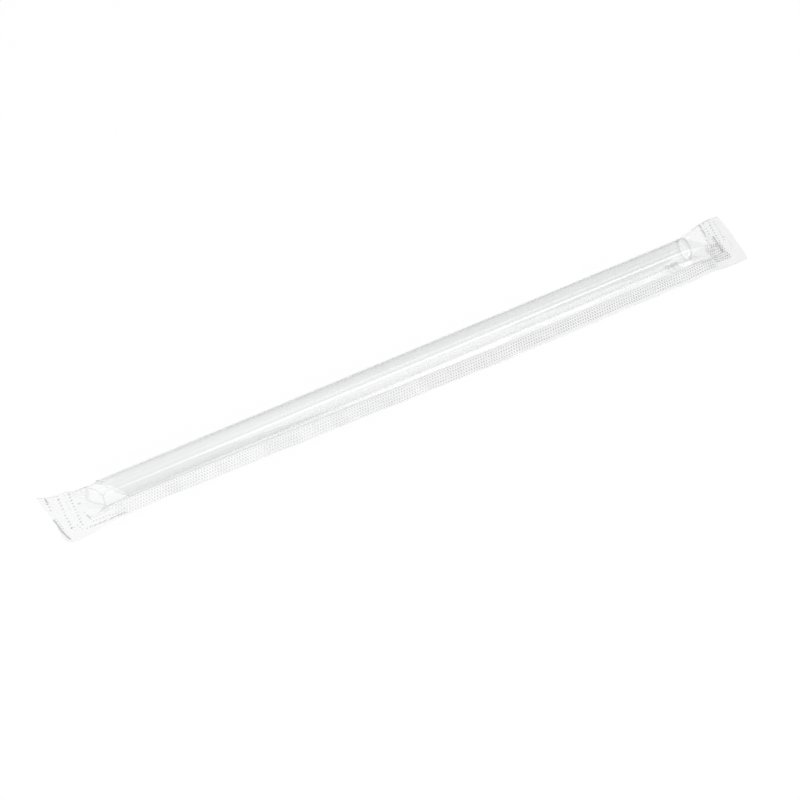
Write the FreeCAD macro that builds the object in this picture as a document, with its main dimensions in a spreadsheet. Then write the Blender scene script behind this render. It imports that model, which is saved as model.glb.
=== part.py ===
"""A clear drinking straw with a slanted tip, sealed in a clear film wrapper.

The wrapper is one web of film, folded over the straw, welded along one side in a long flat seam and
welded flat across both ends. Millimetres, +Z up. The straw lies along X, with its slanted tip at -X
and its square mouth at +X. The folded side is at +Y and the seam at -Y. The pack lies at rest: the
film under the straw and the near corners of both end seals touch the table, which is at Z 0.
"""
import FreeCAD, Part
import Sketcher
import os

# Driving sizes: millimetres, and degrees for the names that end in turn, tilt or droop.
SIZES = {
    "straw_length": 210.0,
    "straw_diameter": 8.0,
    "straw_wall": 0.2,
    "tip_cut_length": 7.5,
    "tip_turn": 37.0,
    "film_thickness": 0.1,
    "film_parting": 0.06,
    "straw_clearance": 0.15,
    "lay_flat_width": 20.2,
    "seam_width": 5.5,
    "tip_headroom": 16.5,
    "tip_seal_length": 10.0,
    "mouth_headroom": 17.6,
    "mouth_seal_length": 7.0,
    "seal_seam_distance": 4.7,
    "seal_tilt": 2.5,
    "shoulder_gap": 0.3,
    "tip_seam_distance": 5.0,
    "tip_shoulder_droop": 6.0,
    "tip_draw_place": 90.0,
    "tip_draw_droop": 4.0,
    "middle_place": 30.0,
    "middle_seam_distance": 6.6,
    "middle_droop": 9.0,
    "mouth_draw_place": 92.0,
    "mouth_seam_distance": 6.0,
    "mouth_draw_droop": 9.0,
    "mouth_shoulder_droop": 10.0,
    "tip_gather_distance": 3.4,
    "mouth_gather_distance": 5.6,
    "tuck_depth": 0.9,
    "ridge_height": 0.4,
    "far_crease_turn": 30.0,
    "tuck_crease_turn": 72.0,
    "ridge_crease_turn": 108.0,
}

# How far across the flat film, from the seam to the fold, each crease starts.
DRAPE_SHARE = 0.26
RIDGE_SHARE = 0.45
TUCK_SHARE = 0.9

document = FreeCAD.newDocument("wrapped_straw")
sheet = document.addObject("Spreadsheet::Sheet", "Sizes")
for row, (alias, size) in enumerate(SIZES.items(), start=1):
    sheet.set(f"A{row}", alias)
    sheet.set(f"B{row}", str(size))
    sheet.setAlias(f"B{row}", alias)
document.recompute()

HALF_STRAW = "(Sizes.straw_length / 2)"
STRAW_RADIUS = "(Sizes.straw_diameter / 2)"
SKIN_RADIUS = f"({STRAW_RADIUS} + Sizes.straw_clearance + Sizes.film_thickness)"
# Half the thickness of the two layers where they lie together, and the film's inner and outer faces.
PLY = "(Sizes.film_thickness + Sizes.film_parting / 2)"
OUTSIDE = "0"
INSIDE = "Sizes.film_thickness"
SEAL_NEAR = "(Sizes.seal_seam_distance + Sizes.seam_width)"
SEAL_FAR = f"(Sizes.lay_flat_width - {SEAL_NEAR})"
# The end seals' height from the straw's axis puts their near corner on the table.
SEAL_RISE = f"({SEAL_NEAR} * sin(Sizes.seal_tilt) + {PLY} * cos(Sizes.seal_tilt) - {SKIN_RADIUS})"
# The origin is under the middle of the pack's box, which the seam and the end seals reach.
SIDE_SHIFT = (
    "(((Sizes.middle_seam_distance + Sizes.seam_width) * cos(Sizes.middle_droop)"
    f" - {SEAL_FAR} * cos(Sizes.seal_tilt)) / 2)"
)
END_SHIFT = "((Sizes.tip_headroom - Sizes.mouth_headroom) / 2)"


def value(expression):
    """What an expression on the sheet comes to, as a plain number."""
    result = sheet.evalExpression(expression)
    return float(getattr(result, "Value", result))


def lay_on_table(body, turn="0"):
    """Puts a body drawn about the straw's axis in its place at rest, turned about that axis."""
    body.Placement.Rotation = FreeCAD.Rotation(FreeCAD.Vector(1, 0, 0), 1)
    body.setExpression("Placement.Rotation.Angle", turn)
    body.setExpression("Placement.Base.x", END_SHIFT)
    body.setExpression("Placement.Base.y", SIDE_SHIFT)
    body.setExpression("Placement.Base.z", SKIN_RADIUS)


def new_sketch(body, name, role, station=None):
    """A sketch on one of the body's own planes, moved along its normal to a station."""
    sketch = body.newObject("Sketcher::SketchObject", name)
    plane = next(feature for feature in body.Origin.OriginFeatures if feature.Role == role)
    sketch.AttachmentSupport = [(plane, "")]
    sketch.MapMode = "FlatFace"
    if station is not None:
        sketch.setExpression("AttachmentOffset.Base.z", station)
    return sketch


def dimension(sketch, name, expression, kind, *where):
    """A named dimension of a sketch, tied to the sheet."""
    index = sketch.addConstraint(Sketcher.Constraint(kind, *where, value(expression)))
    sketch.renameConstraint(index, name)
    sketch.setExpression(f"Constraints.{name}", expression)


def draw_outline(sketch, corners, radii):
    """A closed outline that runs clockwise through its corners, each a pair of expressions. radii
    holds the radius of each side that is an arc, by the number of the corner it starts at."""
    places = [FreeCAD.Vector(value(across), value(up), 0) for across, up in corners]
    following = places[1:] + places[:1]
    for side, (start, end) in enumerate(zip(places, following)):
        if side not in radii:
            sketch.addGeometry(Part.LineSegment(start, end))
            continue
        radius = value(radii[side])
        chord = end - start
        outward = FreeCAD.Vector(-chord.y, chord.x, 0).normalize()
        reach = (radius**2 - chord.Length**2 / 4) ** 0.5
        sketch.addGeometry(Part.Arc(start, (start + end) / 2 + outward * (radius - reach), end))
    for side in range(len(corners)):
        # A clockwise arc is kept by the sketch as its mirror, from its end to its start.
        finish = 1 if side in radii else 2
        begin = 2 if (side + 1) % len(corners) in radii else 1
        link = Sketcher.Constraint("Coincident", side, finish, (side + 1) % len(corners), begin)
        sketch.addConstraint(link)
    for side, (across, up) in enumerate(corners):
        begin = 2 if side in radii else 1
        dimension(sketch, f"across_{side}", across, "DistanceX", -1, 1, side, begin)
        dimension(sketch, f"up_{side}", up, "DistanceY", -1, 1, side, begin)
    for side, radius in radii.items():
        dimension(sketch, f"radius_{side}", radius, "Radius", side)


def turned(point, angle, rise="0"):
    """A point turned about the straw's axis and then raised. A turn lowers the seam."""
    across, up = point
    return (
        f"({across} * cos({angle}) - {up} * sin({angle}))",
        f"({across} * sin({angle}) + {up} * cos({angle}) + {rise})",
    )


def between(first, second, share):
    """What lies at a share of the way from one expression to another."""
    return f"({first} + ({second} - {first}) * {share})"


def on_circle(radius, angle):
    return (f"({radius} * cos({angle}))", f"({radius} * sin({angle}))")


class Section:
    """One face of the film at a station. Its creases run from the seam over the straw to the fold
    and back under it. radius is that of the arcs between them, where the film is round."""

    def __init__(self, creases, seam_edge, radius=None):
        self.creases = creases
        self.seam_edge = seam_edge
        self.radius = radius

    def draw(self, body, name, station, with_seam):
        sketch = new_sketch(body, name, "YZ_Plane", station)
        round_sides = range(1, len(self.creases) - 2) if self.radius else ()
        radii = {side: self.radius for side in round_sides}
        draw_outline(sketch, self.creases + (self.seam_edge if with_seam else []), radii)
        return sketch


def round_section(face, seam_distance, droop):
    """Film that is drawn round the straw and tight to the seam."""
    radius = f"({SKIN_RADIUS} - {face})"
    lip = f"({PLY} - {face})"
    leave = f"(90 deg + asin({SKIN_RADIUS} / Sizes.tip_seam_distance))"
    turns = [leave, "Sizes.ridge_crease_turn", "Sizes.tuck_crease_turn", "Sizes.far_crease_turn"]
    turns += ["(-Sizes.far_crease_turn)", "(-Sizes.ridge_crease_turn)", f"(-{leave})"]
    creases = [(f"(-{seam_distance})", lip)]
    creases += [on_circle(radius, turn) for turn in turns]
    creases += [(f"(-{seam_distance})", f"(-{lip})")]
    outer = f"(-{seam_distance} - Sizes.seam_width)"
    seam_edge = [(outer, f"(-{lip})"), (outer, lip)]
    return Section(
        [turned(crease, droop) for crease in creases],
        [turned(corner, droop) for corner in seam_edge],
        radius,
    )


def flat_section(face):
    """Film that is pressed flat in an end seal."""
    lip = f"({PLY} - {face})"
    seam = "(-Sizes.seal_seam_distance)"
    fold = f"({SEAL_FAR} - {face})"
    drape, ridge, tuck = (between(seam, fold, share) for share in (DRAPE_SHARE, RIDGE_SHARE, TUCK_SHARE))
    creases = [(across, lip) for across in (seam, drape, ridge, tuck, fold)]
    creases += [(across, f"(-{lip})") for across in (fold, ridge, drape, seam)]
    outer = f"(-{SEAL_NEAR})"
    seam_edge = [(outer, f"(-{lip})"), (outer, lip)]
    tilt = "Sizes.seal_tilt"
    return Section(
        [turned(crease, tilt, SEAL_RISE) for crease in creases],
        [turned(corner, tilt, SEAL_RISE) for corner in seam_edge],
    )


def gathered_section(face, flat, full, share):
    """Film on its way from flat to round, with a tuck pressed in beside a raised ridge. The inner
    face is eased inwards, which keeps the film's thickness where it slopes."""
    blend = [
        tuple(between(a, b, share) for a, b in zip(first, second))
        for first, second in zip(flat.creases + flat.seam_edge, full.creases + full.seam_edge)
    ]
    creases = blend[: len(flat.creases)]
    across, up = creases[2]
    creases[2] = (across, f"({up} + Sizes.ridge_height)")
    across, up = creases[3]
    creases[3] = (f"({across} - Sizes.tuck_depth / 2)", f"({up} - Sizes.tuck_depth)")
    over = creases[:1] + [(across, f"({up} - {face} / 2)") for across, up in creases[1:5]]
    under = [(across, f"({up} + {face} / 2)") for across, up in creases[5:8]] + creases[8:]
    return Section(over + under, blend[len(creases) :])


def film_sections(face):
    """The film's stations along the straw, each with its name and section."""
    tip_end = f"(-{HALF_STRAW} - Sizes.tip_headroom)"
    tip_weld = f"({tip_end} + Sizes.tip_seal_length)"
    tip_shoulder = f"(-{HALF_STRAW} - Sizes.shoulder_gap)"
    tip_gather = f"({tip_shoulder} - Sizes.tip_gather_distance)"
    mouth_end = f"({HALF_STRAW} + Sizes.mouth_headroom)"
    mouth_weld = f"({mouth_end} - Sizes.mouth_seal_length)"
    mouth_shoulder = f"({HALF_STRAW} + Sizes.shoulder_gap)"
    mouth_gather = f"({mouth_shoulder} + Sizes.mouth_gather_distance)"
    flat = flat_section(face)
    tip_full = round_section(face, "Sizes.tip_seam_distance", "Sizes.tip_shoulder_droop")
    mouth_full = round_section(face, "Sizes.mouth_seam_distance", "Sizes.mouth_shoulder_droop")
    tip_share = f"((({tip_gather}) - {tip_weld}) / ({tip_shoulder} - {tip_weld}))"
    mouth_share = f"(({mouth_weld} - {mouth_gather}) / ({mouth_weld} - {mouth_shoulder}))"
    stations = [
        ("TipEnd", tip_end, flat),
        ("TipWeld", tip_weld, flat),
        ("TipGather", tip_gather, gathered_section(face, flat, tip_full, tip_share)),
        ("TipShoulder", tip_shoulder, tip_full),
        (
            "TipDraw",
            "(-Sizes.tip_draw_place)",
            round_section(face, "Sizes.tip_seam_distance", "Sizes.tip_draw_droop"),
        ),
        (
            "Middle",
            "Sizes.middle_place",
            round_section(face, "Sizes.middle_seam_distance", "Sizes.middle_droop"),
        ),
        (
            "MouthDraw",
            "Sizes.mouth_draw_place",
            round_section(face, "Sizes.mouth_seam_distance", "Sizes.mouth_draw_droop"),
        ),
        ("MouthShoulder", mouth_shoulder, mouth_full),
        ("MouthGather", mouth_gather, gathered_section(face, flat, mouth_full, mouth_share)),
        ("MouthWeld", mouth_weld, flat),
        ("MouthEnd", mouth_end, flat),
    ]
    if face == INSIDE:
        return stations[1:-1]
    return stations


def add_loft(body, kind, name, sketches):
    """A ruled loft through sketches in order."""
    loft = body.newObject(kind, name)
    loft.Profile = sketches[0]
    loft.Sections = sketches[1:]
    loft.Ruled = True
    return loft


def make_wrapper():
    """The web of film: its outer face as one loft, less the hollow between the welds as another."""
    body = document.addObject("PartDesign::Body", "Wrapper")
    body.Label = "wrapper"
    for face, kind, name in (
        (OUTSIDE, "PartDesign::AdditiveLoft", "Film"),
        (INSIDE, "PartDesign::SubtractiveLoft", "Hollow"),
    ):
        sketches = [
            section.draw(body, name + place, station, face == OUTSIDE)
            for place, station, section in film_sections(face)
        ]
        add_loft(body, kind, name, sketches)
    lay_on_table(body)
    return body


def make_straw():
    """A thin tube, cut slanting at its tip. It is drawn with the slant's long side up."""
    body = document.addObject("PartDesign::Body", "Straw")
    body.Label = "straw"
    ring = new_sketch(body, "Ring", "YZ_Plane")
    centre = FreeCAD.Vector()
    normal = FreeCAD.Vector(0, 0, 1)
    bore = f"({STRAW_RADIUS} - Sizes.straw_wall)"
    for index, radius in enumerate((STRAW_RADIUS, bore)):
        ring.addGeometry(Part.Circle(centre, normal, value(radius)))
        ring.addConstraint(Sketcher.Constraint("Coincident", index, 3, -1, 1))
        dimension(ring, f"radius_{index}", radius, "Radius", index)
    tube = body.newObject("PartDesign::Pad", "Tube")
    tube.Profile = ring
    tube.SideType = "Symmetric"
    tube.setExpression("Length", "Sizes.straw_length")
    slant = new_sketch(body, "Slant", "XZ_Plane")
    tip = f"(-{HALF_STRAW})"
    outside = f"({tip} - Sizes.straw_diameter)"
    below = "(-Sizes.straw_diameter)"
    heel = f"({tip} + Sizes.tip_cut_length)"
    corners = [(tip, STRAW_RADIUS), (heel, f"(-{STRAW_RADIUS})"), (heel, below), (outside, below)]
    draw_outline(slant, corners + [(outside, STRAW_RADIUS)], {})
    cut = body.newObject("PartDesign::Pocket", "TipCut")
    cut.Profile = slant
    cut.SideType = "Symmetric"
    cut.setExpression("Length", "Sizes.straw_diameter * 2")
    lay_on_table(body, "Sizes.tip_turn - 90")
    return body


def check_and_write(bodies):
    """Stops on any failed object, and writes each sound body to its own file."""
    document.recompute()
    failed = [thing.Name for thing in document.Objects if {"Invalid", "Error"} & set(thing.State)]
    if failed:
        raise SystemExit(f"failed objects: {failed}")
    os.makedirs("parts", exist_ok=True)
    for body in bodies:
        if body.Shape.isNull() or not body.Shape.isValid() or len(body.Shape.Solids) != 1:
            raise SystemExit(f"unsound shape: {body.Label}")
        body.Shape.exportStep(f"parts/{body.Label}.step")
        box = body.Shape.BoundBox
        print(body.Label, round(body.Shape.Volume, 3), box)


check_and_write([make_straw(), make_wrapper()])
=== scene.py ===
"""A clear drinking straw with a slanted tip, sealed in a clear film wrapper, on a white table.

Lengths are in millimetres, in the CAD's own frame, until they go into a mesh. The straw lies along X
with its slanted tip at -X. The folded side of the film is at +Y and its seam at -Y. A point of the
flat film has two measures: its place along the straw, and how far across it is from the seam's edge.
"""
import bpy
import numpy as np
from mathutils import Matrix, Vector
from mathutils.geometry import delaunay_2d_cdt


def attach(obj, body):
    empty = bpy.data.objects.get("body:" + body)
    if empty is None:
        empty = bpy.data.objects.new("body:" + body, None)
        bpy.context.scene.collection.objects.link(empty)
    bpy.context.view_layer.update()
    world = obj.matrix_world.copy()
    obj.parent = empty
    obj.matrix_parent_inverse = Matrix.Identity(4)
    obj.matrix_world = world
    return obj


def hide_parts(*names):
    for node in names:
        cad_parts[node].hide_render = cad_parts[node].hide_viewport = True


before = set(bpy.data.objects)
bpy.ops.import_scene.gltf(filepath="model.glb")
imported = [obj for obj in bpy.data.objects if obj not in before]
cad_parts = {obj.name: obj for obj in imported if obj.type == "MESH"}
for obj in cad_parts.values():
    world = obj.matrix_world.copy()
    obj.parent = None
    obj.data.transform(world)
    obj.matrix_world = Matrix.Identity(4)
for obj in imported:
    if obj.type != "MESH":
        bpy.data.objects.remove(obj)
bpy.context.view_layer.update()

MM = 0.001
# The straw: its axis, its two radii, its two ends, and the length and the turn of its slanted cut.
AXIS_Y = 0.98
AXIS_Z = 4.25
STRAW_RADIUS = 4.0
STRAW_BORE = 3.8
STRAW_TIP = -105.55
STRAW_MOUTH = 104.45
TIP_CUT = 7.5
TIP_TURN = np.radians(37.0)
# The film: its radius round the straw, its width lying flat, the seam's share of that, how far apart
# its two layers lie where they are welded, and the least distance it keeps from the straw.
FILM_RADIUS = 4.13
FILM_WIDTH = 20.2
SEAM_WIDTH = 5.5
PLY = 0.06
CLEARANCE = 0.06
# Along the straw: where the film ends, where it is pressed flat, and where it leaves the straw.
FILM_TIP = -122.6
TIP_WELD = -113.0
TIP_LEFT = -105.4
MOUTH_LEFT = 105.0
MOUTH_WELD = 116.0
FILM_MOUTH = 124.3


def make_camera():
    """The camera of the photograph: 112.5 mm on a 36 mm sensor, for a frame of 800 by 800."""
    eye = Vector((-258.15, -455.3, 588.8)) * MM
    aim = Vector((-7.27, -7.35, 0.0)) * MM
    camera = bpy.data.objects.new("camera", bpy.data.cameras.new("camera"))
    camera.data.lens = 112.5
    camera.data.sensor_width = 36.0
    camera.data.clip_start = 0.01
    camera.location = eye
    camera.rotation_euler = (aim - eye).to_track_quat("-Z", "Y").to_euler()
    bpy.context.collection.objects.link(camera)
    bpy.context.scene.camera = camera


def new_piece(name, points, faces, material, uv=None):
    """A mesh object at the origin from points in millimetres, with one UV pair for each point."""
    mesh = bpy.data.meshes.new(name)
    mesh.from_pydata((points * MM).tolist(), [], faces)
    mesh.update()
    mesh.shade_smooth()
    if uv is not None:
        layer = mesh.uv_layers.new(name="flat_film")
        corners = np.empty(len(mesh.loops), dtype=np.int32)
        mesh.loops.foreach_get("vertex_index", corners)
        layer.data.foreach_set("uv", uv[corners].astype(np.float32).ravel())
    piece = bpy.data.objects.new(name, mesh)
    mesh.materials.append(material)
    bpy.context.collection.objects.link(piece)
    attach(piece, "root")
    return piece


def ring_faces(rows, columns):
    """Quads of a grid whose columns close into a ring. Row r, column c is point r * columns + c."""
    row, column = np.meshgrid(np.arange(rows - 1), np.arange(columns), indexing="ij")
    here = row * columns + column
    beside = row * columns + (column + 1) % columns
    return np.stack([here, beside, beside + columns, here + columns], axis=-1).reshape(-1, 4)


def make_straw(material):
    """A tube with a wall. Round the axis at angle a, the plane that cuts its tip meets a wall of
    radius r at x = tip + cut * (R - r * cos(a - turn)) / 2R, and its mouth is square."""
    around = 120
    angle = np.linspace(0.0, 2.0 * np.pi, around, endpoint=False)
    share = np.concatenate([np.linspace(0.0, 0.1, 20, endpoint=False), np.linspace(0.1, 1.0, 60)])

    def wall(radius):
        cut_share = (STRAW_RADIUS - radius * np.cos(angle - TIP_TURN)) / (2 * STRAW_RADIUS)
        tip = STRAW_TIP + TIP_CUT * cut_share
        along = tip + (STRAW_MOUTH - tip) * share[:, None]
        across = np.broadcast_to(AXIS_Y + radius * np.cos(angle), along.shape)
        up = np.broadcast_to(AXIS_Z + radius * np.sin(angle), along.shape)
        return np.stack([along, across, up], axis=-1)

    rows = np.concatenate([wall(STRAW_RADIUS), wall(STRAW_BORE)[::-1]])
    rows = np.concatenate([rows, rows[:1]])
    faces = ring_faces(len(rows), around)
    last = (len(rows) - 1) * around
    faces = np.where(faces >= last, faces - last, faces)
    points = rows[:-1].reshape(-1, 3)
    straw = new_piece("clear_straw", points, faces.tolist(), material)
    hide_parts("straw")


# Along the straw: how far the seam's inner edge stands from the axis, and how far the seam droops.
SEAM_PLACES = (-106.0, -98.0, -90.0, 0.0, 30.0, 60.0, 92.0, 98.5, 104.0, 112.0)
SEAM_STANDS = (5.0, 5.0, 5.0, 6.15, 6.6, 6.5, 6.5, 6.7, 6.2, 6.0)
DROOP_PLACES = (-106.0, -90.0, 30.0, 92.0, 105.0)
DROOPS = (6.0, 4.0, 9.0, 9.0, 10.0)
# Along the straw: how far the slack film between straw and seam bulges out.
BULGE_PLACES = (-106.0, -60.0, -20.0, 0.0, 22.0, 40.0, 60.0, 95.0, 104.0)
BULGES = (0.02, 0.05, 0.03, 0.0, -0.04, -0.14, -0.16, -0.15, -0.04)


def ripple(along, across):
    """Slight waves of slack film: a sum of four sines whose crests run mostly along the straw."""
    return (
        0.009 * np.sin(along / 8.3 + 0.9 * across)
        + 0.004 * np.sin(along / 4.1 - 1.3 * across + 1.7)
        + 0.012 * np.sin(along / 15.7 + 0.5 * across + 0.6)
        + 0.001 * np.sin(along / 1.9 + 2.2 * across)
    )


def film_on_straw(along, across, side):
    """Film round the straw. From the seam it runs straight to where it touches the straw, bulged by
    a half sine, and then on an arc to the fold. It is drawn level and then turned down by the seam's
    droop. side is 1 over the straw and -1 under it, where the bulge is 0.3 as high."""
    stand = np.interp(along, SEAM_PLACES, SEAM_STANDS)
    droop = np.radians(np.interp(along, DROOP_PLACES, DROOPS))
    leave = np.pi / 2 + np.arcsin(FILM_RADIUS / stand)
    tent = np.sqrt(stand**2 - FILM_RADIUS**2)
    free = np.clip(across - SEAM_WIDTH, 0.0, None)
    free = free * (tent + FILM_RADIUS * leave) / (FILM_WIDTH - SEAM_WIDTH)
    share = np.clip(free / tent, 0.0, 1.0)
    angle = leave - np.clip(free - tent, 0.0, None) / FILM_RADIUS
    on_arc = free > tent
    straight = -stand + share * (stand + FILM_RADIUS * np.cos(leave))
    y = np.where(on_arc, FILM_RADIUS * np.cos(angle), straight)
    z = np.where(on_arc, FILM_RADIUS * np.sin(angle), share * FILM_RADIUS * np.sin(leave))
    in_seam = across < SEAM_WIDTH
    y = np.where(in_seam, -stand - (SEAM_WIDTH - across), y)
    z = np.where(in_seam, 0.0, z) + PLY / 2 * (1 - np.clip(free / 4.0, 0.0, 1.0))
    bulge = np.interp(along, BULGE_PLACES, BULGES) * np.sin(np.pi * share)
    bulge = bulge + ripple(along, across) * np.sin(np.pi * np.clip(free / (tent + 1.5), 0.0, 1.0))
    bulge = np.where(side > 0, bulge, 0.3 * bulge)
    y = y + bulge * np.cos(leave)
    z = z + bulge * np.sin(leave)
    wave = 0.12 * np.sin(along / 5.2) + 0.1 * np.sin(along / 2.9 + 1.0) + 0.05 * np.sin(along / 1.3)
    seam_wave = wave * np.clip((SEAM_WIDTH + 1.0 - across) / 5.0, 0.0, 1.0)
    z = z * side + seam_wave
    turned_y = AXIS_Y + y * np.cos(droop) - z * np.sin(droop)
    turned_z = AXIS_Z + y * np.sin(droop) + z * np.cos(droop)
    return np.stack([along, turned_y, turned_z], axis=-1)


# The pressed ends in plan: where the cut edge and the far edge run, over the film's width or length.
TIP_EDGE_ACROSS = (0.0, 0.5, 1.3, 2.6, 9.0, 20.2)
TIP_EDGE = (-117.6, -119.2, -120.4, -120.9, -121.5, -122.6)
MOUTH_EDGE_ACROSS = (0.0, 0.4, 11.4, 20.2)
MOUTH_EDGE = (122.4, 122.8, 124.0, 124.3)
FAR_PLACES = (-122.6, -120.5, -118.3, -115.5, -113.2, -112.0, 114.0, 116.6, 120.8, 124.3)
FAR_EDGE = (11.05, 10.1, 9.35, 9.1, 8.8, 8.3, 10.6, 10.95, 11.3, 10.95)
NEAR_PLACES = (-122.6, -118.5, -114.9, -110.4, 112.0, 119.0, 124.3)
NEAR_EDGE = (-9.2, -9.2, -8.75, -8.3, -9.4, -9.5, -9.2)


def pressed_film(along, across, side):
    """Film pressed flat in an end seal: a sheet that slopes up from the near side to the far one, by
    0.88 mm, with slight waves of sines. At the tip its near corner curls up, by the square of how far
    it reaches past -119.2."""
    near = np.interp(along, NEAR_PLACES, NEAR_EDGE)
    far = np.interp(along, FAR_PLACES, FAR_EDGE)
    share = across / FILM_WIDTH
    y = near + (far - near) * share
    z = 0.12 + 0.88 * share + PLY / 2 * side
    waves = 0.05 * np.sin(along / 1.7 + 0.3 * across) + 0.04 * np.sin(0.8 * across - along / 2.3)
    z = z + waves * share
    curl = np.clip((-119.2 - along) / 2.6, 0.0, 1.0)
    curl = curl * np.clip(1.0 - np.abs(across - 3.2) / 4.6, 0.0, 1.0)
    z = z + np.where(side > 0, 0.85, 0.25) * curl**2
    return np.stack([along, y, z], axis=-1)


# Where the creases of the gathered film over the straw's tip meet: along, across, then x, y, z.
TIP_CREASES = [
    (-111.8, 5.5, -111.7, -3.75, 0.55),
    (-112.2, 8.5, -112.3, -0.8, 0.72),
    (-112.1, 13.2, -112.1, 4.0, 1.05),
    (-112.4, 17.8, -112.6, 7.3, 1.25),
    (-113.2, 20.2, -113.2, 8.8, 1.0),
    (-109.4, 5.5, -109.4, -3.9, 1.75),
    (-109.8, 12.0, -109.8, 2.3, 2.45),
    (-106.4, 6.5, -106.4, -3.75, 3.9),
    (-107.2, 13.2, -107.2, 1.6, 6.1),
    (-109.3, 15.0, -109.35, 3.6, 2.6),
    (-109.3, 17.3, -109.3, 5.9, 4.1),
    (-111.0, 20.2, -110.9, 7.5, 1.5),
    (-109.6, 20.2, -109.6, 6.7, 2.4),
    (-107.4, 17.3, -107.5, 4.6, 5.3),
    (-107.4, 20.2, -107.4, 5.6, 3.4),
    (-106.2, 9.6, -106.2, -2.0, 6.3),
]
# Which crease points a fold joins, and where along the wrapper's width the gather meets smooth film.
TIP_CREASE_LINES = [
    (1, 6), (3, 6), (6, 7), (6, 8), (8, 7), (1, 5), (3, 9), (9, 10), (10, 8), (9, 8), (10, 12), (3, 10),
]
TIP_ROUND = (5.5, 7.0, 8.1, 9.3, 10.5, 12.1, 13.2, 14.25, 15.4, 16.5, 18.3, 20.2)
TIP_FLAT = (5.5, 8.5, 11.0, 13.2, 15.5, 17.8, 20.2)
# The same for the film over the mouth.
MOUTH_CREASES = [
    (104.3, 14.0, 104.4, 1.85, 8.4),
    (104.1, 9.9, 104.2, -1.95, 7.3),
    (116.2, 19.4, 116.2, 10.4, 1.35),
    (115.2, 11.6, 115.2, 2.4, 0.95),
    (113.8, 10.0, 113.8, 0.85, 1.5),
    (112.3, 6.3, 112.3, -3.9, 0.95),
    (112.5, 5.5, 112.5, -4.8, 0.75),
    (108.5, 5.5, 108.5, -5.1, 1.5),
    (116.6, 20.2, 116.6, 10.95, 1.15),
    (105.7, 17.6, 105.7, 5.35, 5.9),
    (105.2, 16.2, 105.2, 4.1, 7.25),
    (105.6, 20.2, 105.6, 5.7, 3.5),
    (103.7, 7.8, 103.7, -3.55, 5.5),
    (108.0, 8.4, 108.0, -1.5, 4.0),
]
MOUTH_CREASE_LINES = [
    (0, 2), (1, 4), (2, 3), (3, 4), (4, 5), (9, 8), (0, 10), (10, 2), (12, 5), (1, 12), (9, 10),
    (13, 5), (13, 4),
]
MOUTH_ROUND = (5.5, 6.8, 7.8, 8.9, 9.9, 11.2, 12.6, 14.0, 15.4, 16.7, 18.3, 20.2)
MOUTH_FLAT = (5.5, 8.0, 10.0, 11.6, 15.0, 18.0, 20.2)
# Each gather: its crease points, its folds, its border on the film round the straw, and its border on
# the pressed film. A border has its place along the straw, the place where the creases reach their full
# depth, and its points' places across the film.
TIP_GATHER = (
    TIP_CREASES,
    TIP_CREASE_LINES,
    (-103.6, -105.2, TIP_ROUND),
    (-113.8, -112.9, TIP_FLAT),
)
MOUTH_GATHER = (
    MOUTH_CREASES,
    MOUTH_CREASE_LINES,
    (102.6, 104.0, MOUTH_ROUND),
    (117.4, 116.4, MOUTH_FLAT),
)
# Wrinkles in the film over the straw, near its mouth: places across, places along, height and width.
WRINKLES = (
    ((5.3, 6.6, 8.6), (96.2, 95.4, 95.1), 0.4, 0.75),
    ((5.3, 6.6, 8.8), (98.6, 97.4, 96.9), 0.45, 0.8),
    ((6.4, 7.4, 8.4), (104.6, 103.8, 103.9), 0.3, 0.6),
)


def creased(along, across, net, lines):
    """Film between crease points: flat triangles that keep the crease lines, worked out for every
    point of the grid from its shares of each triangle's three corners."""
    flat = [Vector(point[:2]) for point in net]
    triangles = delaunay_2d_cdt(flat, lines, [], 0, 1e-4)[2]
    corner = np.array([point[2:] for point in net], dtype=float)
    plan = np.array([point[:2] for point in net], dtype=float)
    places = np.full(along.shape + (3,), np.nan)
    for a, b, c in triangles:
        (ax, ay), (bx, by), (cx, cy) = plan[a], plan[b], plan[c]
        area = (bx - ax) * (cy - ay) - (cx - ax) * (by - ay)
        if abs(area) < 1e-9:
            continue
        second = ((along - ax) * (cy - ay) - (cx - ax) * (across - ay)) / area
        third = ((bx - ax) * (across - ay) - (along - ax) * (by - ay)) / area
        shares = np.stack([1.0 - second - third, second, third], axis=-1)
        inside = (shares > -1e-6).all(axis=-1)
        mixed = shares[..., :1] * corner[a] + shares[..., 1:2] * corner[b] + shares[..., 2:] * corner[c]
        places = np.where(inside[..., None], mixed, places)
    return places


def smooth_step(low, high, value):
    """0 where value is at low, 1 where it is at high, and smooth between: 3 s^2 - 2 s^3."""
    share = np.clip((value - low) / (high - low), 0.0, 1.0)
    return share * share * (3.0 - 2.0 * share)


def soften(points, rounds):
    """Rounds the creases slightly: each point moves to the mean of itself and its grid neighbours,
    with weights 1, 2 and 1 each way."""
    for _ in range(rounds):
        points = points.copy()
        points[1:-1] = (points[:-2] + 2 * points[1:-1] + points[2:]) / 4
        points[:, 1:-1] = (points[:, :-2] + 2 * points[:, 1:-1] + points[:, 2:]) / 4
    return points


def wrinkle(points, along, across, line_across, line_along, height, width):
    """A low ridge beside a hollow that crosses the film on a line, fading at its two ends. It rises by
    height * o * exp(-o^2) * 2.3 at an offset of o widths, so that its top is about the height."""
    centre = np.interp(across, line_across, line_along)
    middle = (line_across[0] + line_across[-1]) / 2
    reach = (line_across[-1] - line_across[0]) / 2
    fade = np.clip(1.0 - ((across - middle) / reach) ** 2, 0.0, 1.0)
    offset = (along - centre) / width
    rise = height * fade * offset * np.exp(-(offset**2)) * 2.3
    points[..., 1] -= 0.6 * rise
    points[..., 2] += 0.8 * rise
    return points


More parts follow.
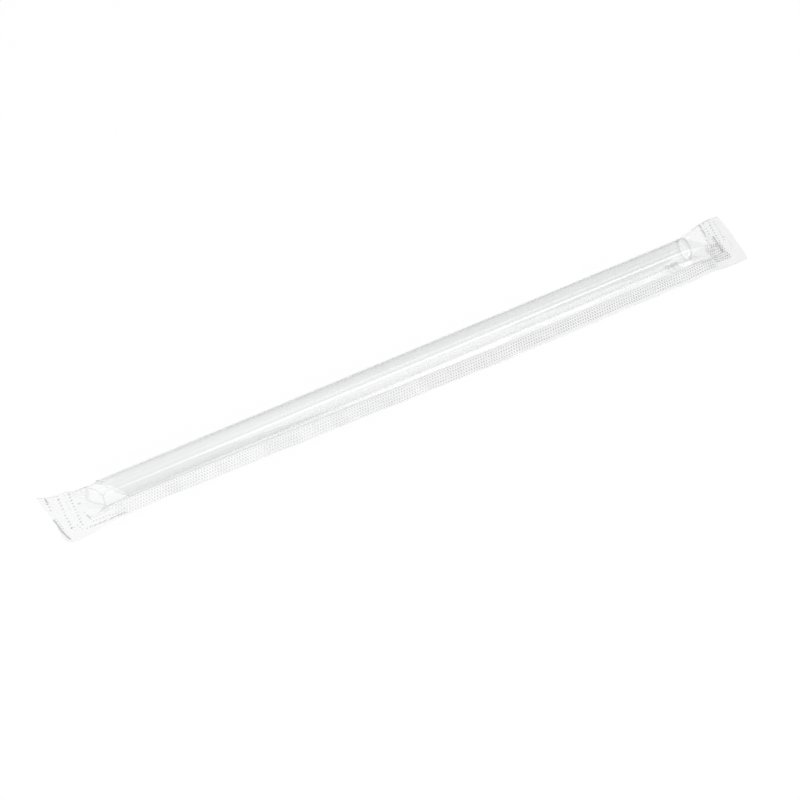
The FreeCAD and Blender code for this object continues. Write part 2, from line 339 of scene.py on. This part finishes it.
def gathered(layer, along, across, gather):
    """Puts the creases of one end's gather into the layer over the straw, fading at its borders and
    into the seam."""
    points, lines, round_border, flat_border = gather
    net = list(points)
    for film, (place, _, places_across) in ((pressed_film, flat_border), (film_on_straw, round_border)):
        net += [(place, t, *film(np.array(place), np.array(t), side=1).tolist()) for t in places_across]
    folded = creased(along, across, net, lines)
    share = 1.0
    for place, full_place, _ in (round_border, flat_border):
        share = share * smooth_step(place, full_place, along)
    share = (share * smooth_step(SEAM_WIDTH - 1.1, SEAM_WIDTH + 0.1, across))[..., None]
    return np.where(np.isnan(folded), layer, layer + (folded - layer) * share)


def clear_of_straw(points):
    """Moves film that would cut the straw outwards, to a radius just clear of it. The least radius
    falls away within 0.7 mm past the mouth and the slanted tip, where the film leans on their edges.
    The tip's edge, at angle a round the axis, is at x = tip + cut * (1 - cos(a - turn)) / 2."""
    y = points[..., 1] - AXIS_Y
    z = points[..., 2] - AXIS_Z
    tip = STRAW_TIP + TIP_CUT * (1.0 - np.cos(np.arctan2(z, y) - TIP_TURN)) / 2
    inside = np.minimum(points[..., 0] - tip, STRAW_MOUTH - points[..., 0])
    least = (STRAW_RADIUS + CLEARANCE) * smooth_step(-0.7, -0.05, inside)
    grow = np.maximum(least / np.maximum(np.hypot(y, z), 0.1), 1.0)
    return np.stack([points[..., 0], AXIS_Y + y * grow, AXIS_Z + z * grow], axis=-1)


def film_layer(along, across, side):
    """One layer of the film over the whole grid: pressed at both ends, round the straw between, and
    gathered where one becomes the other. The gathers are creased in the layer over the straw only."""
    round_part = film_on_straw(along, across, side)
    flat_part = pressed_film(along, across, side)
    tip = smooth_step(TIP_LEFT, TIP_WELD, along)[..., None]
    mouth = smooth_step(MOUTH_LEFT, MOUTH_WELD, along)[..., None]
    ruled = round_part + (flat_part - round_part) * np.maximum(tip, mouth)
    if side < 0:
        return clear_of_straw(ruled)
    layer = gathered(ruled, along, across, TIP_GATHER)
    layer = gathered(layer, along, across, MOUTH_GATHER)
    layer = soften(layer, rounds=2)
    for line_across, line_along, height, width in WRINKLES:
        layer = wrinkle(layer, along, across, line_across, line_along, height, width)
    return clear_of_straw(layer)


def crease_shade_from_bend(grid):
    """Painted shade for the creases, from how sharply the film bends at each point of its grid: how far
    the unit normals of its neighbours differ, each way, less what the straw's own roundness gives."""
    normal = np.cross(np.gradient(grid, axis=0), np.gradient(grid, axis=1))
    normal = normal / np.maximum(np.linalg.norm(normal, axis=-1, keepdims=True), 1e-9)
    bend = np.zeros(grid.shape[:2])
    bend[1:-1] += np.linalg.norm(normal[2:] - normal[:-2], axis=-1)
    bend[:, 1:-1] += np.linalg.norm(normal[:, 2:] - normal[:, :-2], axis=-1)
    return np.clip((bend - 0.16) / 1.1, 0.0, 0.5)


# Painted shade along creases pressed into the film over the straw: each a line of (along, across)
# # points, its half width, its strength and the pitch of its dots, or 0 for an unbroken line.
CREASE_SHADE_LINES = [
    (((-121.4, 10.6), (-121.1, 8.2), (-120.9, 5.4), (-120.5, 3.2), (-120.0, 1.7)), 0.42, 1.0, 0.0),
    (((-120.7, 10.9), (-120.4, 8.6), (-120.2, 6.4)), 0.3, 0.8, 1.1),
    (((-120.4, 19.7), (-120.5, 18.2)), 0.34, 1.0, 0.0),
    (((-120.5, 18.2), (-119.9, 18.1)), 0.26, 0.8, 0.0),
    (((-118.6, 19.6), (-118.3, 18.4)), 0.26, 0.5, 0.9),
    (((-114.8, 20.0), (-115.1, 16.5), (-115.5, 11.9)), 0.2, 0.35, 0.0),
    (((-113.0, 20.1), (-113.3, 17.4)), 0.24, 0.6, 0.0),
    (((-112.4, 12.5), (-112.0, 12.3)), 0.42, 0.7, 0.0),
    (((-112.2, 8.7), (-112.0, 8.4)), 0.28, 0.6, 0.0),
    (((-113.0, 19.4), (-112.2, 16.6), (-110.7, 13.2), (-109.9, 11.7)), 0.22, 0.4, 0.0),
    (((-109.9, 11.7), (-108.8, 9.6), (-107.8, 8.3), (-106.4, 6.9), (-105.5, 5.5)), 0.26, 0.5, 0.0),
    (((-110.4, 17.6), (-109.7, 15.8)), 0.6, 0.32, 0.0),
    (((-108.6, 16.6), (-109.1, 14.6), (-109.7, 12.4)), 0.75, 0.42, 0.0),
    (((-111.9, 7.3), (-111.6, 5.6)), 0.42, 0.7, 0.0),
    (
        ((-111.6, 6.6), (-110.3, 5.3), (-108.9, 4.5), (-107.0, 4.1), (-104.3, 3.9), (-101.6, 4.1)),
        0.3,
        0.42,
        0.0,
    ),
    (((-111.2, 4.2), (-108.3, 2.8), (-105.4, 1.9), (-101.0, 2.2)), 0.3, 0.9, 1.0),
    (((-113.9, 2.9), (-112.4, 2.6)), 0.3, 0.9, 1.2),
    (((-112.2, 2.6), (-110.8, 2.1), (-108.5, 1.3), (-105.4, 0.8), (-102.0, 1.0)), 0.3, 0.95, 0.0),
    (((-117.1, 5.6), (-115.9, 5.9), (-115.3, 3.1)), 0.24, 0.6, 1.4),
    (((116.7, 19.7), (116.4, 17.9)), 0.36, 1.0, 0.0),
    (((116.2, 17.0), (115.9, 15.2)), 0.4, 0.9, 0.0),
    (((115.9, 15.2), (116.0, 12.4)), 0.18, 0.6, 0.0),
    (((104.0, 9.9), (108.6, 9.9), (113.6, 9.8)), 0.2, 0.4, 0.0),
    (((117.9, 13.2), (117.6, 11.4), (117.2, 8.6), (116.9, 6.2)), 0.5, 1.0, 0.0),
    (((118.6, 20.0), (120.3, 19.6), (120.6, 18.2)), 0.34, 0.8, 0.9),
    (((119.9, 18.0), (119.2, 14.6), (118.8, 12.0)), 0.36, 0.7, 1.2),
    (((121.0, 12.6), (121.6, 10.4), (121.3, 7.7), (119.4, 5.2)), 0.22, 0.6, 0.8),
    (((101.4, 8.0), (103.2, 7.2), (104.6, 7.6), (106.1, 6.9)), 0.36, 0.5, 0.0),
    (((104.6, 5.4), (108.0, 5.7), (111.2, 6.1), (114.0, 6.0)), 0.24, 0.55, 0.0),
]


def crease_shade_lines(along, across):
    """How dark the painted shade of the pressed creases is at each point: each line's strength where
    the point is on it, falling to 0 at its half width. A dotted line rises and falls as a cosine, once
    a pitch, and an unbroken one varies a little as a sine."""
    painted_shade = np.zeros(along.shape)
    for line, width, strength, pitch in CREASE_SHADE_LINES:
        gone = 0.0
        for (u, t), (next_u, next_t) in zip(line, line[1:]):
            run = np.hypot(next_u - u, next_t - t)
            share = ((along - u) * (next_u - u) + (across - t) * (next_t - t)) / run**2
            share = np.clip(share, 0.0, 1.0)
            away = np.hypot(along - u - share * (next_u - u), across - t - share * (next_t - t))
            place = gone + share * run
            dots = np.cos(2 * np.pi * place / pitch) if pitch else 0.6 + 0.3 * np.sin(2.4 * place)
            dots = np.clip(0.5 + dots, 0.0, 1.0)
            painted_shade = np.maximum(painted_shade, strength * dots * np.clip(1.6 - 1.6 * away / width, 0.0, 1.0))
            gone += run
    return painted_shade


def make_film(material):
    """The whole wrapper as one closed skin: the film over the straw, round the fold, and back under
    it. Its grid is finer at the two ends. The flat film's own measures, in millimetres, go into its
    UV map, and painted shade for its creases goes into a float attribute of its points."""
    body_start = -99.0
    body_end = 94.0
    tip_end = np.linspace(FILM_TIP, body_start, 140)
    body = np.linspace(body_start, body_end, 170)[1:-1]
    mouth_end = np.linspace(body_end, FILM_MOUTH, 176)
    stations = np.concatenate([tip_end, body, mouth_end])
    in_seam = np.linspace(0.0, SEAM_WIDTH, 12, endpoint=False)
    spread = np.concatenate([in_seam, np.linspace(SEAM_WIDTH, FILM_WIDTH, 64)])
    along, across = np.meshgrid(stations, spread, indexing="ij")
    tip_edge = np.interp(across, TIP_EDGE_ACROSS, TIP_EDGE)
    mouth_edge = np.interp(across, MOUTH_EDGE_ACROSS, MOUTH_EDGE)

    def placed(side):
        """One layer, with its pressed ends stretched to the cut edges. The lower layer's near corner
        at the tip stands out by 0.75 mm."""
        edge = tip_edge
        if side < 0:
            edge = tip_edge - 0.75 * np.clip(1.0 - np.abs(across - 3.5) / 5.0, 0.0, 1.0)
        from_tip = (along - FILM_TIP) * (TIP_WELD - edge) / (TIP_WELD - FILM_TIP)
        from_mouth = (along - FILM_MOUTH) * (mouth_edge - MOUTH_WELD) / (FILM_MOUTH - MOUTH_WELD)
        moved = np.where(along < TIP_WELD, edge + from_tip, along)
        moved = np.where(along > MOUTH_WELD, mouth_edge + from_mouth, moved)
        return film_layer(moved, across, side), moved

    over, over_along = placed(1)
    under, under_along = placed(-1)
    under = np.where((spread == FILM_WIDTH)[None, :, None], over, under)
    ring = np.concatenate([over, under[:, -2::-1]], axis=1)
    across_film = np.concatenate([across, 2 * FILM_WIDTH - across[:, -2::-1]], axis=1)
    uv = np.stack([np.concatenate([over_along, under_along[:, -2::-1]], axis=1), across_film], axis=-1)
    rows, columns = ring.shape[:2]
    skin = ring_faces(rows, columns)[:, ::-1]
    # Quads between the two layers close each end. At the fold two of their corners are one point.
    strip = np.arange(columns // 2)
    cap = np.stack([strip, strip + 1, columns - 2 - strip, columns - 1 - strip], axis=-1)
    caps = np.concatenate([cap, cap[:, ::-1] + (rows - 1) * columns])
    faces = skin.tolist() + [list(dict.fromkeys(face)) for face in caps.tolist()]
    # Painted shade: how dark the creases are painted, from the bends of both layers and the dark crease
    # lines of the upper one, kept on the points for the film's material.
    crease_shade_over = np.maximum(crease_shade_from_bend(over), crease_shade_lines(over_along, across))
    bend = np.concatenate([crease_shade_over, crease_shade_from_bend(under)[:, -2::-1]], axis=1)
    film = new_piece("film_wrapper", ring.reshape(-1, 3), faces, material, uv.reshape(-1, 2))
    crease_shade = film.data.attributes.new("crease_shade", "FLOAT", "POINT")
    crease_shade.data.foreach_set("value", bend.astype(np.float32).ravel())
    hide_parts("wrapper")


class Nodes:
    """The nodes of a material or a world under construction, with short ways to add them."""

    def __init__(self, owner):
        owner.use_nodes = True
        self.owner = owner
        self.tree = owner.node_tree
        self.tree.nodes.clear()

    def node(self, kind, links=None, **settings):
        """Adds a node, with its settings, and its inputs by name or number as values or links."""
        made = self.tree.nodes.new(kind)
        for name, setting in settings.items():
            setattr(made, name, setting)
        for name, source in (links or {}).items():
            socket = made.inputs[name]
            if isinstance(source, bpy.types.NodeSocket):
                self.tree.links.new(source, socket)
            else:
                socket.default_value = source
        return made

    def out(self, kind, links=None, output=0, **settings):
        """Adds a node and gives one of its outputs, by name or number."""
        return self.node(kind, links, **settings).outputs[output]

    def math(self, operation, *values):
        """One math node's result."""
        return self.out("ShaderNodeMath", dict(enumerate(values)), operation=operation)

    def product(self, first, *others):
        """The product of two or more values."""
        for other in others:
            first = self.math("MULTIPLY", first, other)
        return first

    def largest(self, first, *others):
        """The largest of two or more values."""
        for other in others:
            first = self.math("MAXIMUM", first, other)
        return first

    def ramp(self, value, low, high, start=0.0, end=1.0):
        """start where value is at low, end where it is at high, and smooth between."""
        links = {"Value": value, "From Min": low, "From Max": high, "To Min": start, "To Max": end}
        return self.out("ShaderNodeMapRange", links, interpolation_type="SMOOTHSTEP")

    def between(self, value, low, high, blur):
        """1 where a value is between low and high, falling to 0 over the blur at either end."""
        return self.product(self.ramp(value, low, low + blur), self.ramp(value, high, high - blur))

    def noise(self, place, scale, detail=2.0):
        """Smooth noise, with its scale given each way."""
        scaled = self.out("ShaderNodeMapping", {"Vector": place, "Scale": scale})
        return self.out("ShaderNodeTexNoise", {"Vector": scaled, "Scale": 1.0, "Detail": detail}, "Fac")

    def slant(self, blend):
        """0 where the surface is seen straight on, and 1 where it is seen edge on."""
        return self.out("ShaderNodeLayerWeight", {"Blend": blend}, "Facing")

    def mirror_share(self, straight):
        """How much a clear surface mirrors: its share seen straight on, plus the rest of the way to 1
        times the fifth power of one less the cosine of the slant. Both faces give the same."""
        curve = self.math("POWER", self.slant(0.5), 5.0)
        return self.math("MULTIPLY_ADD", curve, 1.0 - straight, straight)

    def close(self, kind, surface):
        """Adds the output node, and gives the finished material or world."""
        self.node(kind, {"Surface": surface})
        return self.owner

    def clear_plastic(self, tint, milk, milk_roughness, haze, mirrored, roughness, bump):
        """Finishes a clear plastic. It is see-through with a tint, and a share haze of it is milk. A
        gloss over both mirrors a share of the light, and more at a slant."""
        clear = self.out("ShaderNodeBsdfTransparent", {"Color": tint})
        links = {"Base Color": milk, "Roughness": milk_roughness, "IOR": 1.5, "Normal": bump}
        solid = self.out("ShaderNodeBsdfPrincipled", links)
        body = self.out("ShaderNodeMixShader", {0: haze, 1: clear, 2: solid})
        links = {"Color": (1, 1, 1, 1), "Roughness": roughness, "Normal": bump}
        gloss = self.out("ShaderNodeBsdfGlossy", links)
        surface = self.out("ShaderNodeMixShader", {0: self.mirror_share(mirrored), 1: body, 2: gloss})
        return self.close("ShaderNodeOutputMaterial", surface)


def marks(finish, along, across, pitch, shift, size):
    """Rows of small marks: 1 on a mark and 0 between. pitch is the step along a row and from row to
    row, and size is a mark's share of it each way. Every second row is moved on by shift of a step."""
    row = finish.math("DIVIDE", across, pitch[1])
    odd = finish.math("FLOORED_MODULO", finish.math("FLOOR", row), 2.0)
    place = finish.math("ADD", finish.math("DIVIDE", along, pitch[0]), finish.product(odd, shift))
    on_mark = []
    for count, share in ((place, size[0]), (row, size[1])):
        off = finish.math("ABSOLUTE", finish.math("SUBTRACT", finish.math("FRACT", count), 0.5))
        on_mark.append(finish.ramp(off, share / 2 + 0.1, share / 2 - 0.06))
    return finish.product(*on_mark)


def pressed_marks(finish, uv, along, across):
    """The marks that sealing leaves: 1 on a mark and 0 between. The seam has five rows of dashes, the
    end seals have rows of dots, and where the seam crosses the mouth's seal the film is knurled."""

    def skewed(amount):
        """Along, for rows that slant over the width of the film."""
        return finish.math("ADD", along, finish.product(finish.math("SUBTRACT", 18.0, across), amount))

    seam = finish.product(
        finish.math("GREATER_THAN", across, finish.ramp(along, 0.0, 85.0, 0.3, 1.15)),
        finish.ramp(across, 5.45, 5.25),
        finish.between(along, -106.0, 113.0, 3.0),
    )
    dashes = finish.product(
        marks(finish, along, across, pitch=(0.92, 1.02), shift=0.5, size=(0.46, 0.66)),
        seam,
        finish.ramp(finish.noise(uv, (0.16, 0.5, 1.0)), 0.3, 0.62, 0.6, 1.0),
        finish.largest(finish.ramp(along, -100.0, -108.0), finish.ramp(along, -70.0, 60.0, 0.38, 0.75)),
    )

    worn = finish.noise(uv, (0.9, 0.6, 1.0))
    tip_place = finish.math("ADD", skewed(0.07), 122.2)
    faint_row = finish.product(finish.ramp(along, -118.6, -119.0), finish.ramp(across, 14.6, 14.0))
    tip_seal = finish.product(
        finish.between(along, -121.6, -111.4, 0.2),
        finish.ramp(across, 4.6, 5.0),
        finish.math("SUBTRACT", 1.0, faint_row),
    )
    tip_dots = finish.product(
        marks(finish, across, tip_place, pitch=(1.4, 3.45), shift=0.45, size=(0.34, 0.15)),
        tip_seal,
        finish.ramp(worn, 0.38, 0.58, 0.15),
    )
    mouth_place = finish.math("SUBTRACT", skewed(0.17), 115.0)
    mouth_seal = finish.product(finish.between(along, 114.4, 122.0, 0.2), finish.ramp(across, 8.4, 8.8))
    mouth_dots = finish.product(
        marks(finish, across, mouth_place, pitch=(1.15, 1.95), shift=0.45, size=(0.4, 0.24)),
        mouth_seal,
        finish.ramp(worn, 0.42, 0.6, 0.1),
    )

    crossing = finish.product(
        finish.between(along, 111.5, 118.6, 0.4),
        finish.between(across, 2.6, 11.0, 0.5),
    )
    knurl = finish.product(
        marks(finish, mouth_place, across, pitch=(0.85, 0.95), shift=0.5, size=(0.6, 0.6)),
        crossing,
        finish.ramp(finish.noise(uv, (0.9, 0.9, 1.0)), 0.35, 0.5),
    )
    return finish.largest(dashes, finish.largest(tip_dots, mouth_dots), knurl)


def film_finish():
    """Clear glossy film: see-through, greyer where it is seen at a slant, with a milky trace, and
    with painted shade, darker and hazier, where it is pressed or creased."""
    finish = Nodes(bpy.data.materials.new("clear_film"))
    uv = finish.out("ShaderNodeUVMap", uv_map="flat_film")
    split = finish.node("ShaderNodeSeparateXYZ", {0: uv}).outputs
    along = split[0]
    across = finish.math("PINGPONG", split[1], FILM_WIDTH)
    pressed = pressed_marks(finish, uv, along, across)
    streaks = finish.noise(uv, (0.03, 0.35, 1.0), 1.0)
    relief = finish.math("ADD", finish.product(pressed, -0.05), finish.product(streaks, 0.006))
    bump = finish.out("ShaderNodeBump", {"Height": relief, "Strength": 1.0, "Distance": MM})
    crease_shade = finish.out("ShaderNodeAttribute", output="Fac", attribute_name="crease_shade")
    # Painted shade: the sealing marks, which are also sunk in as bumps, and the creases darken the milk
    # down to 0.3 and raise its haze.
    painted_shade = finish.largest(pressed, finish.product(crease_shade, 1.25))
    shade = finish.ramp(painted_shade, 0.0, 1.0, 0.93, 0.3)
    milk = finish.out("ShaderNodeCombineColor", {0: shade, 1: shade, 2: shade})
    welded = finish.largest(finish.ramp(along, -111.0, -113.5), finish.ramp(along, 113.5, 116.5))
    haze = finish.ramp(finish.slant(0.35), 0.0, 1.0, 0.012, 0.045)
    haze = finish.math("MULTIPLY_ADD", welded, 0.012, haze)
    haze = finish.largest(haze, finish.product(painted_shade, 0.42))
    return finish.clear_plastic((0.994, 0.995, 0.996, 1.0), milk, 0.3, haze, 0.048, 0.07, bump)


def straw_finish():
    """Thin clear polypropylene: see-through and slightly milky, greyer at a slant where the light
    goes through more of the wall, glossy, with faint lines along it from the die."""
    finish = Nodes(bpy.data.materials.new("clear_plastic"))
    place = finish.out("ShaderNodeTexCoord", output="Object")
    lines = finish.noise(place, (9.0, 700.0, 700.0))
    bump = finish.out("ShaderNodeBump", {"Height": lines, "Strength": 0.06, "Distance": 0.02 * MM})
    haze = finish.product(
        finish.ramp(finish.slant(0.5), 0.0, 1.0, 0.006, 0.08),
        finish.ramp(lines, 0.2, 0.8, 0.85, 1.15),
    )
    milk = (0.9, 0.9, 0.91, 1.0)
    return finish.clear_plastic((0.996, 0.997, 0.998, 1.0), milk, 0.25, haze, 0.035, 0.12, bump)


def table_finish():
    """A white table. Seen directly, in gloss or through clear things it glows a little, so that it
    comes out white and still shows a shadow."""
    finish = Nodes(bpy.data.materials.new("white_table"))
    path = finish.node("ShaderNodeLightPath").outputs
    seen = finish.largest(path["Is Camera Ray"], path["Is Glossy Ray"], path["Is Transmission Ray"])
    strength = finish.product(seen, 0.918)
    glow = finish.out("ShaderNodeEmission", {"Color": (1, 1, 1, 1), "Strength": strength})
    paint = finish.out("ShaderNodeBsdfDiffuse", {"Color": (0.12, 0.12, 0.12, 1.0)})
    surface = finish.out("ShaderNodeAddShader", {0: paint, 1: glow})
    return finish.close("ShaderNodeOutputMaterial", surface)


def make_table(material):
    """A square sheet, in metres, just under the floor so that it touches no film."""
    half = 6.0
    low = -0.00002
    corners = [(-half, -half, low), (half, -half, low), (half, half, low), (-half, half, low)]
    mesh = bpy.data.meshes.new("table")
    mesh.from_pydata(corners, [], [(0, 1, 2, 3)])
    mesh.materials.append(material)
    table = bpy.data.objects.new("table", mesh)
    bpy.context.collection.objects.link(table)


def add_softbox(name, place, aim, size, glow):
    """A rectangular lamp. glow is its brightness as it is seen, and the power follows from that."""
    lamp = bpy.data.lights.new(name, "AREA")
    lamp.shape = "RECTANGLE"
    lamp.size, lamp.size_y = size
    lamp.energy = glow * np.pi * size[0] * size[1]
    softbox = bpy.data.objects.new(name, lamp)
    softbox.location = place
    softbox.rotation_euler = (Vector(aim) - Vector(place)).to_track_quat("-Z", "Y").to_euler()
    bpy.context.collection.objects.link(softbox)


def light_studio():
    """A row of three softboxes on the near side, dimmer towards the tip, and an even pale room that is
    darker towards the mouth. Lengths are in metres."""
    for name, along, size, glow in (
        ("near_right", 0.5, (0.66, 0.15), 2.3),
        ("near_middle", 0.12, (0.1, 0.2), 1.8),
        ("near_left", -0.18, (0.5, 0.14), 1.3),
    ):
        add_softbox(name, (along, -0.49, 0.31), (along, 0.0, 0.0), size, glow)
    # The room's strength falls from 1 to 0.18 as a direction's dot product with dim_way goes from 0.72
    # to 0.95.
    dim_way = (2.5, 0.3, 0.0)
    fall = {"From Min": 0.72, "From Max": 0.95, "To Min": 1.0, "To Max": 0.18}
    room = Nodes(bpy.data.worlds.new("room"))
    direction = room.out("ShaderNodeTexCoord", output="Generated")
    links = {0: direction, 1: dim_way}
    towards = room.out("ShaderNodeVectorMath", links, "Value", operation="DOT_PRODUCT")
    strength = room.out("ShaderNodeMapRange", {"Value": towards, **fall})
    background = room.out("ShaderNodeBackground", {"Strength": strength})
    bpy.context.scene.world = room.close("ShaderNodeOutputWorld", background)


make_camera()
light_studio()
make_table(table_finish())
make_straw(straw_finish())
make_film(film_finish())

bpy.context.scene.view_settings.view_transform = "Standard"
